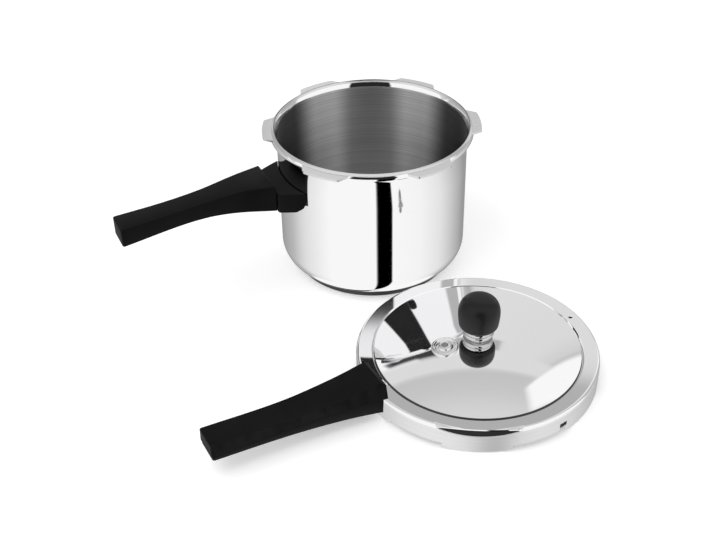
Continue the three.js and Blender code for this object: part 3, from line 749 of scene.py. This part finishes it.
plugSize = {"radius": 3, "low": 1.9, "top": 5.1, "round": 0.6, "roundSteps": 3, "steps": 48}


def makeValvePlug(size):
    radius, corner = size["radius"], size["round"]
    profile = [(0, size["low"]), (radius, size["low"])]
    profile += bendPoints(radius - corner, size["top"] - corner, corner, 0, 90, size["roundSteps"])
    profile += [(0, size["top"])]
    bm = spinProfile(profile, size["steps"])
    placeOnDome(bm)
    return keepPiece(bm, "safetyPlug", "lid", ["safety_valve_plug"], [plugAlloy])


valve = [makeValveDisc(valveSize), makeValvePlug(plugSize)]


# the lid is kept out of the mirror of the pot's wall

hiddenNodes = ["sealing_ring", "vent_washer", "vent_nut", "lid_handle_bracket", "lid_handle_screw_inner",
               "lid_handle_screw_outer", "safety_valve_washer", "safety_valve_nut"]
for piece in [lidShell, *lidHandle, *valve, *[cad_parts[node] for node in hiddenNodes]]:
    piece.visible_glossy = False


# weight

weightSize = {"low": 40.2, "collar": 13.9, "collarHigh": 8, "beadTurn": 75, "beadSteps": 10,
              "bore": 5.6, "boreTop": 61.9, "stem": 8, "stemTop": 66.2, "steps": 96}


def makeWeightBody(size):
    low, stem, stemTop, bore = size["low"], size["stem"], size["stemTop"], size["bore"]
    top = low + size["collarHigh"]
    middle = low + size["collarHigh"] / 2
    bead = size["collarHigh"] / 4
    beadX = size["collar"] - bead
    profile = [(bore, low)]
    profile += bendPoints(beadX, low + bead, bead, -90, size["beadTurn"], size["beadSteps"])
    profile += bendPoints(beadX, middle + bead, bead, -size["beadTurn"], 90, size["beadSteps"])
    profile += [(stem, top), (stem, stemTop), (0, stemTop), (0, size["boreTop"]), (bore, size["boreTop"])]
    bm = spinProfile(profile, size["steps"], closed=True)
    movePiece(bm, *lidAxis)
    keepPiece(bm, "weightBody", "weight", ["weight_body"], [collarSteel])


# the crown's two powers make it flatter than a half ellipse
knobSize = {"hollow": 8.3, "hollowTop": 66.8, "low": 48.5, "foot": 13.4, "footRound": 4.2, "footEnd": -8,
            "footSteps": 8, "belly": 18.5, "bellyAt": 63.5, "cheekSteps": 8, "top": 78.7, "crownSteps": 16,
            "crownAcross": 0.54, "crownUp": 0.95, "steps": 96}


def makeKnob(size):
    hollow, belly, bellyAt = size["hollow"], size["belly"], size["bellyAt"]
    rise = size["top"] - bellyAt
    cheek = size["foot"] + size["footRound"]
    cheekZ = size["low"] + size["footRound"]
    quarter = math.pi / 2
    profile = [(hollow, size["low"])]
    profile += bendPoints(size["foot"], cheekZ, size["footRound"], -90, size["footEnd"], size["footSteps"])
    for i in range(1, size["cheekSteps"] + 1):
        part = i / size["cheekSteps"]
        profile.append((cheek + (belly - cheek) * math.sin(part * quarter),
                        cheekZ + (bellyAt - cheekZ) * part))
    for i in range(1, size["crownSteps"]):
        turn = quarter * i / size["crownSteps"]
        profile.append((belly * math.cos(turn) ** size["crownAcross"],
                        bellyAt + rise * math.sin(turn) ** size["crownUp"]))
    profile += [(0, size["top"]), (0, size["hollowTop"]), (hollow, size["hollowTop"])]
    bm = spinProfile(profile, size["steps"])
    loop = [e for e in bm.edges if e.is_boundary]
    bmesh.ops.bridge_loops(bm, edges=loop)
    bmesh.ops.recalc_face_normals(bm, faces=bm.faces)
    movePiece(bm, *lidAxis)
    keepPiece(bm, "weightKnob", "weight", ["weight_cap"], [knobBlack])


makeWeightBody(weightSize)
makeKnob(knobSize)


# pieces whose solid is already right take a finished material

finishes = {"base_core": coreMetal, "pot_handle_bracket": fittingSteel,
            "pot_handle_screw_inner": fittingSteel, "pot_handle_screw_outer": fittingSteel,
            "sealing_ring": sealBlack, "vent_tube": fittingSteel, "vent_washer": sealBlack,
            "vent_nut": fittingSteel, "lid_handle_bracket": fittingSteel,
            "lid_handle_screw_inner": fittingSteel, "lid_handle_screw_outer": fittingSteel,
            "safety_valve_washer": sealBlack, "safety_valve_nut": fittingSteel,
            "weight_seat": fittingSteel}
for node, material in finishes.items():
    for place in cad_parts[node].material_slots:
        place.material = material
print("finished solids:", len(finishes))


# floor, light and camera

floorLook = {"half": 6.0, "below": 0.0003, "grey": 0.9, "rough": 0.9, "lift": 0.35}


def makeFloor(look):
    bm = bmesh.new()
    bmesh.ops.create_grid(bm, x_segments=1, y_segments=1, size=look["half"])
    bmesh.ops.translate(bm, verts=bm.verts, vec=(0, 0, -look["below"]))
    mesh = bpy.data.meshes.new("floor")
    bm.to_mesh(mesh)
    bm.free()
    floor = bpy.data.objects.new("floor", mesh)
    bpy.context.collection.objects.link(floor)
    material = bpy.data.materials.new("pale floor")
    material.use_nodes = True
    tree = material.node_tree
    shader = tree.nodes["Principled BSDF"]
    grey = look["grey"]
    setInputs(shader, Base_Color=(grey, grey, grey, 1), Roughness=look["rough"],
              Emission_Color=(1, 1, 1, 1))
    seen = addNode(tree, "ShaderNodeLightPath", "ray")
    tree.links.new(spread(tree, seen.outputs["Is Camera Ray"], 0, look["lift"], "white to the camera"),
                   shader.inputs["Emission Strength"])
    mesh.materials.append(material)
    floor.visible_glossy = False


studio = {"level": 0.7,
          "horizon": [(-2, 0), (2, 1)],
          # brightness by azimuth in degrees below the horizon: seen in the pot's wall
          "low": [(-180, 0.80), (-145, 1.0), (-86.5, 1.0), (-85.5, 0.0), (-67.5, 0.0), (-66.5, 1.0),
                  (-30, 0.96), (0, 0.82), (30, 0.54), (58, 0.33), (111, 0.33), (150, 0.50), (170, 0.72),
                  (180, 0.80)],
          # far below: seen in the pot's lower bend
          "under": [(-86.5, 1.0), (-85.5, 0.0), (-67.5, 0.0), (-66.5, 1.0), (93.5, 1.0), (94.5, 0.0),
                    (112.5, 0.0), (113.5, 1.0)],
          "underFrom": [(-57, 1), (-54, 0)],
          # above the horizon: panels behind with a dark gap, a bright one to the right, dark in front
          "high": [(-115, 1.0), (-113, 0.02), (-66, 0.02), (-64, 1.0), (4, 1.0), (10, 0.5), (37, 0.5),
                   (39, 1.0), (52.5, 1.0), (53, 0.50), (54, 0.66), (60, 0.74), (80, 0.76), (83.4, 0.70),
                   (84, 1.0), (98, 1.0), (99, 0.01), (107, 0.01), (108, 1.0), (120, 1.0), (126, 0.5),
                   (166, 0.5), (172, 1.0)],
          # the dark front ends below a white part, and one of the panels has a grey corner
          "front": 0.95,
          "frontUp": [(38.0, 0), (38.5, 1)],
          "frontFrom": [(-125, 0), (-120, 1), (-60, 1), (-55, 0)],
          "corner": 0.36,
          "cornerUp": [(18, 1), (26, 0.8), (33, 0)],
          "cornerFrom": [(83.3, 0), (83.9, 1), (86.5, 0.5), (92, 0)],
          # a pale strip over the panels and a grey ceiling, by the angle up from the back
          "ceiling": [(49, 0.75), (57, 0.75), (58, 0.57), (66, 0.60), (76, 0.70), (90, 0.72)],
          "ceilingUp": [(48.5, 0), (49.5, 1), (90, 1), (92, 0)],
          "ceilingFrom": [(52.5, 0), (53.5, 1)],
          "ceilingBeside": [(68.5, 0), (69.5, 1)],
          # dark edge along the top of the panels, and the grey that the front of the lid's ring faces
          "edge": 0.05,
          "edgeUp": [(45.5, 0), (46, 1), (48.3, 1), (48.8, 0)],
          "edgeFrom": [(97, 0), (98, 1), (118, 1), (119, 0)],
          "ring": 0.45,
          "ringUp": [(40.0, 0), (40.6, 1), (46, 1), (46.5, 0)],
          "ringFrom": [(73, 0), (74, 1), (93, 1), (94, 0)]}


def makeStudio(look):
    world = bpy.data.worlds.new("studio")
    bpy.context.scene.world = world
    world.use_nodes = True
    tree = world.node_tree
    background = tree.nodes["Background"]
    place = addNode(tree, "ShaderNodeTexCoord", "direction")
    parts = addNode(tree, "ShaderNodeSeparateXYZ", "direction parts")
    tree.links.new(place.outputs["Generated"], parts.inputs["Vector"])

    def angle(operation, first, second=None, half=180):
        # an angle as a part from 0 to 1 of its range, half of it to either side
        turn = addNode(tree, "ShaderNodeMath", operation=operation)
        tree.links.new(first, turn.inputs[0])
        if second:
            tree.links.new(second, turn.inputs[1])
        part = addNode(tree, "ShaderNodeMapRange")
        setInputs(part, From_Min=-math.radians(half), From_Max=math.radians(half))
        tree.links.new(turn.outputs["Value"], part.inputs["Value"])
        return part.outputs["Result"], half

    around = angle("ARCTAN2", parts.outputs["Y"], parts.outputs["X"])
    rise = angle("ARCSINE", parts.outputs["Z"], half=90)
    over = angle("ARCTAN2", parts.outputs["Z"], parts.outputs["Y"])
    beside = angle("ARCTAN2", parts.outputs["Z"], parts.outputs["X"])

    def band(turned, stops, label):
        source, half = turned
        placed = [((degrees + half) / half / 2, grey) for degrees, grey in stops]
        return greyRamp(tree, source, placed, label).outputs["Color"]

    def blend(factor, first, second, label):
        mix = addNode(tree, "ShaderNodeMix", label, data_type="RGBA")
        tree.links.new(factor, mix.inputs["Factor"])
        tree.links.new(first, mix.inputs["A"])
        tree.links.new(second, mix.inputs["B"])
        return mix.outputs["Result"]

    def joined(operation, first, second, label):
        result = addNode(tree, "ShaderNodeMath", label, operation=operation)
        tree.links.new(first, result.inputs[0])
        tree.links.new(second, result.inputs[1])
        return result.outputs["Value"]

    def both(first, second, label):
        return joined("MULTIPLY", first, second, label)

    def either(first, second, label):
        return joined("MAXIMUM", first, second, label)

    def plain(grey, label):
        colour = addNode(tree, "ShaderNodeRGB", label)
        colour.outputs[0].default_value = (grey, grey, grey, 1)
        return colour.outputs[0]

    room = blend(band(rise, look["underFrom"], "far below place"), band(around, look["low"], "below"),
                 band(around, look["under"], "far below"), "low walls")
    room = blend(band(rise, look["horizon"], "above the horizon"), room,
                 band(around, look["high"], "above"), "walls")
    for name in ("front", "corner", "ring"):
        here = both(band(rise, look[name + "Up"], name + " up"),
                    band(around, look[name + "From"], name + " round"), name)
        room = blend(here, room, plain(look[name], name + " grey"), "with " + name)
    here = either(band(around, look["ceilingFrom"], "ceiling round"),
                  band(beside, look["ceilingBeside"], "ceiling beside"), "ceiling sides")
    here = both(band(over, look["ceilingUp"], "ceiling up"), here, "ceiling place")
    room = blend(here, room, band(over, look["ceiling"], "ceiling"), "with ceiling")
    here = both(band(over, look["edgeUp"], "edge up"),
                band(around, look["edgeFrom"], "edge round"), "edge")
    room = blend(here, room, plain(look["edge"], "edge dark"), "with panel edge")
    ray = addNode(tree, "ShaderNodeLightPath", "ray")
    colour = blend(ray.outputs["Is Glossy Ray"], plain(1, "white"), room, "in the steel")
    tree.links.new(colour, background.inputs["Color"])
    shown = either(ray.outputs["Is Camera Ray"], ray.outputs["Is Glossy Ray"], "seen")
    tree.links.new(spread(tree, shown, look["level"], 1.0, "level"), background.inputs["Strength"])


lampLook = {"at": (-0.9, -0.7, 1.9), "aim": (0.0, -0.1, 0.05), "width": 1.6, "watts": 14}


def makeLamp(look):
    lamp = bpy.data.lights.new("soft lamp", "AREA")
    lamp.shape = "SQUARE"
    lamp.size = look["width"]
    lamp.energy = look["watts"]
    placed = bpy.data.objects.new("soft lamp", lamp)
    placed.location = look["at"]
    aim = Vector(look["aim"]) - Vector(look["at"])
    placed.rotation_euler = aim.to_track_quat("-Z", "Y").to_euler()
    placed.visible_glossy = False
    bpy.context.collection.objects.link(placed)


# the focal length and the image width are in pixels
cameraLook = {"at": (-0.0163023, -0.9720476, 0.6738427), "down": 35.592, "roll": -1.1115,
              "focal": 1142.444, "imageWidth": 715, "sensor": 36, "farEnd": 50}


def makeCamera(look):
    camera = bpy.data.cameras.new("camera")
    camera.sensor_fit = "HORIZONTAL"
    camera.sensor_width = look["sensor"]
    camera.lens = look["sensor"] * look["focal"] / look["imageWidth"]
    camera.clip_end = look["farEnd"]
    placed = bpy.data.objects.new("camera", camera)
    tilt = Matrix.Rotation(math.radians(90 - look["down"]), 4, "X")
    roll = Matrix.Rotation(math.radians(look["roll"]), 4, "Z")
    placed.matrix_world = Matrix.Translation(look["at"]) @ tilt @ roll
    bpy.context.collection.objects.link(placed)
    bpy.context.scene.camera = placed


makeFloor(floorLook)
makeStudio(studio)
makeLamp(lampLook)
makeCamera(cameraLook)
bpy.context.scene.view_settings.view_transform = "Standard"
print("floor, light and camera ready")
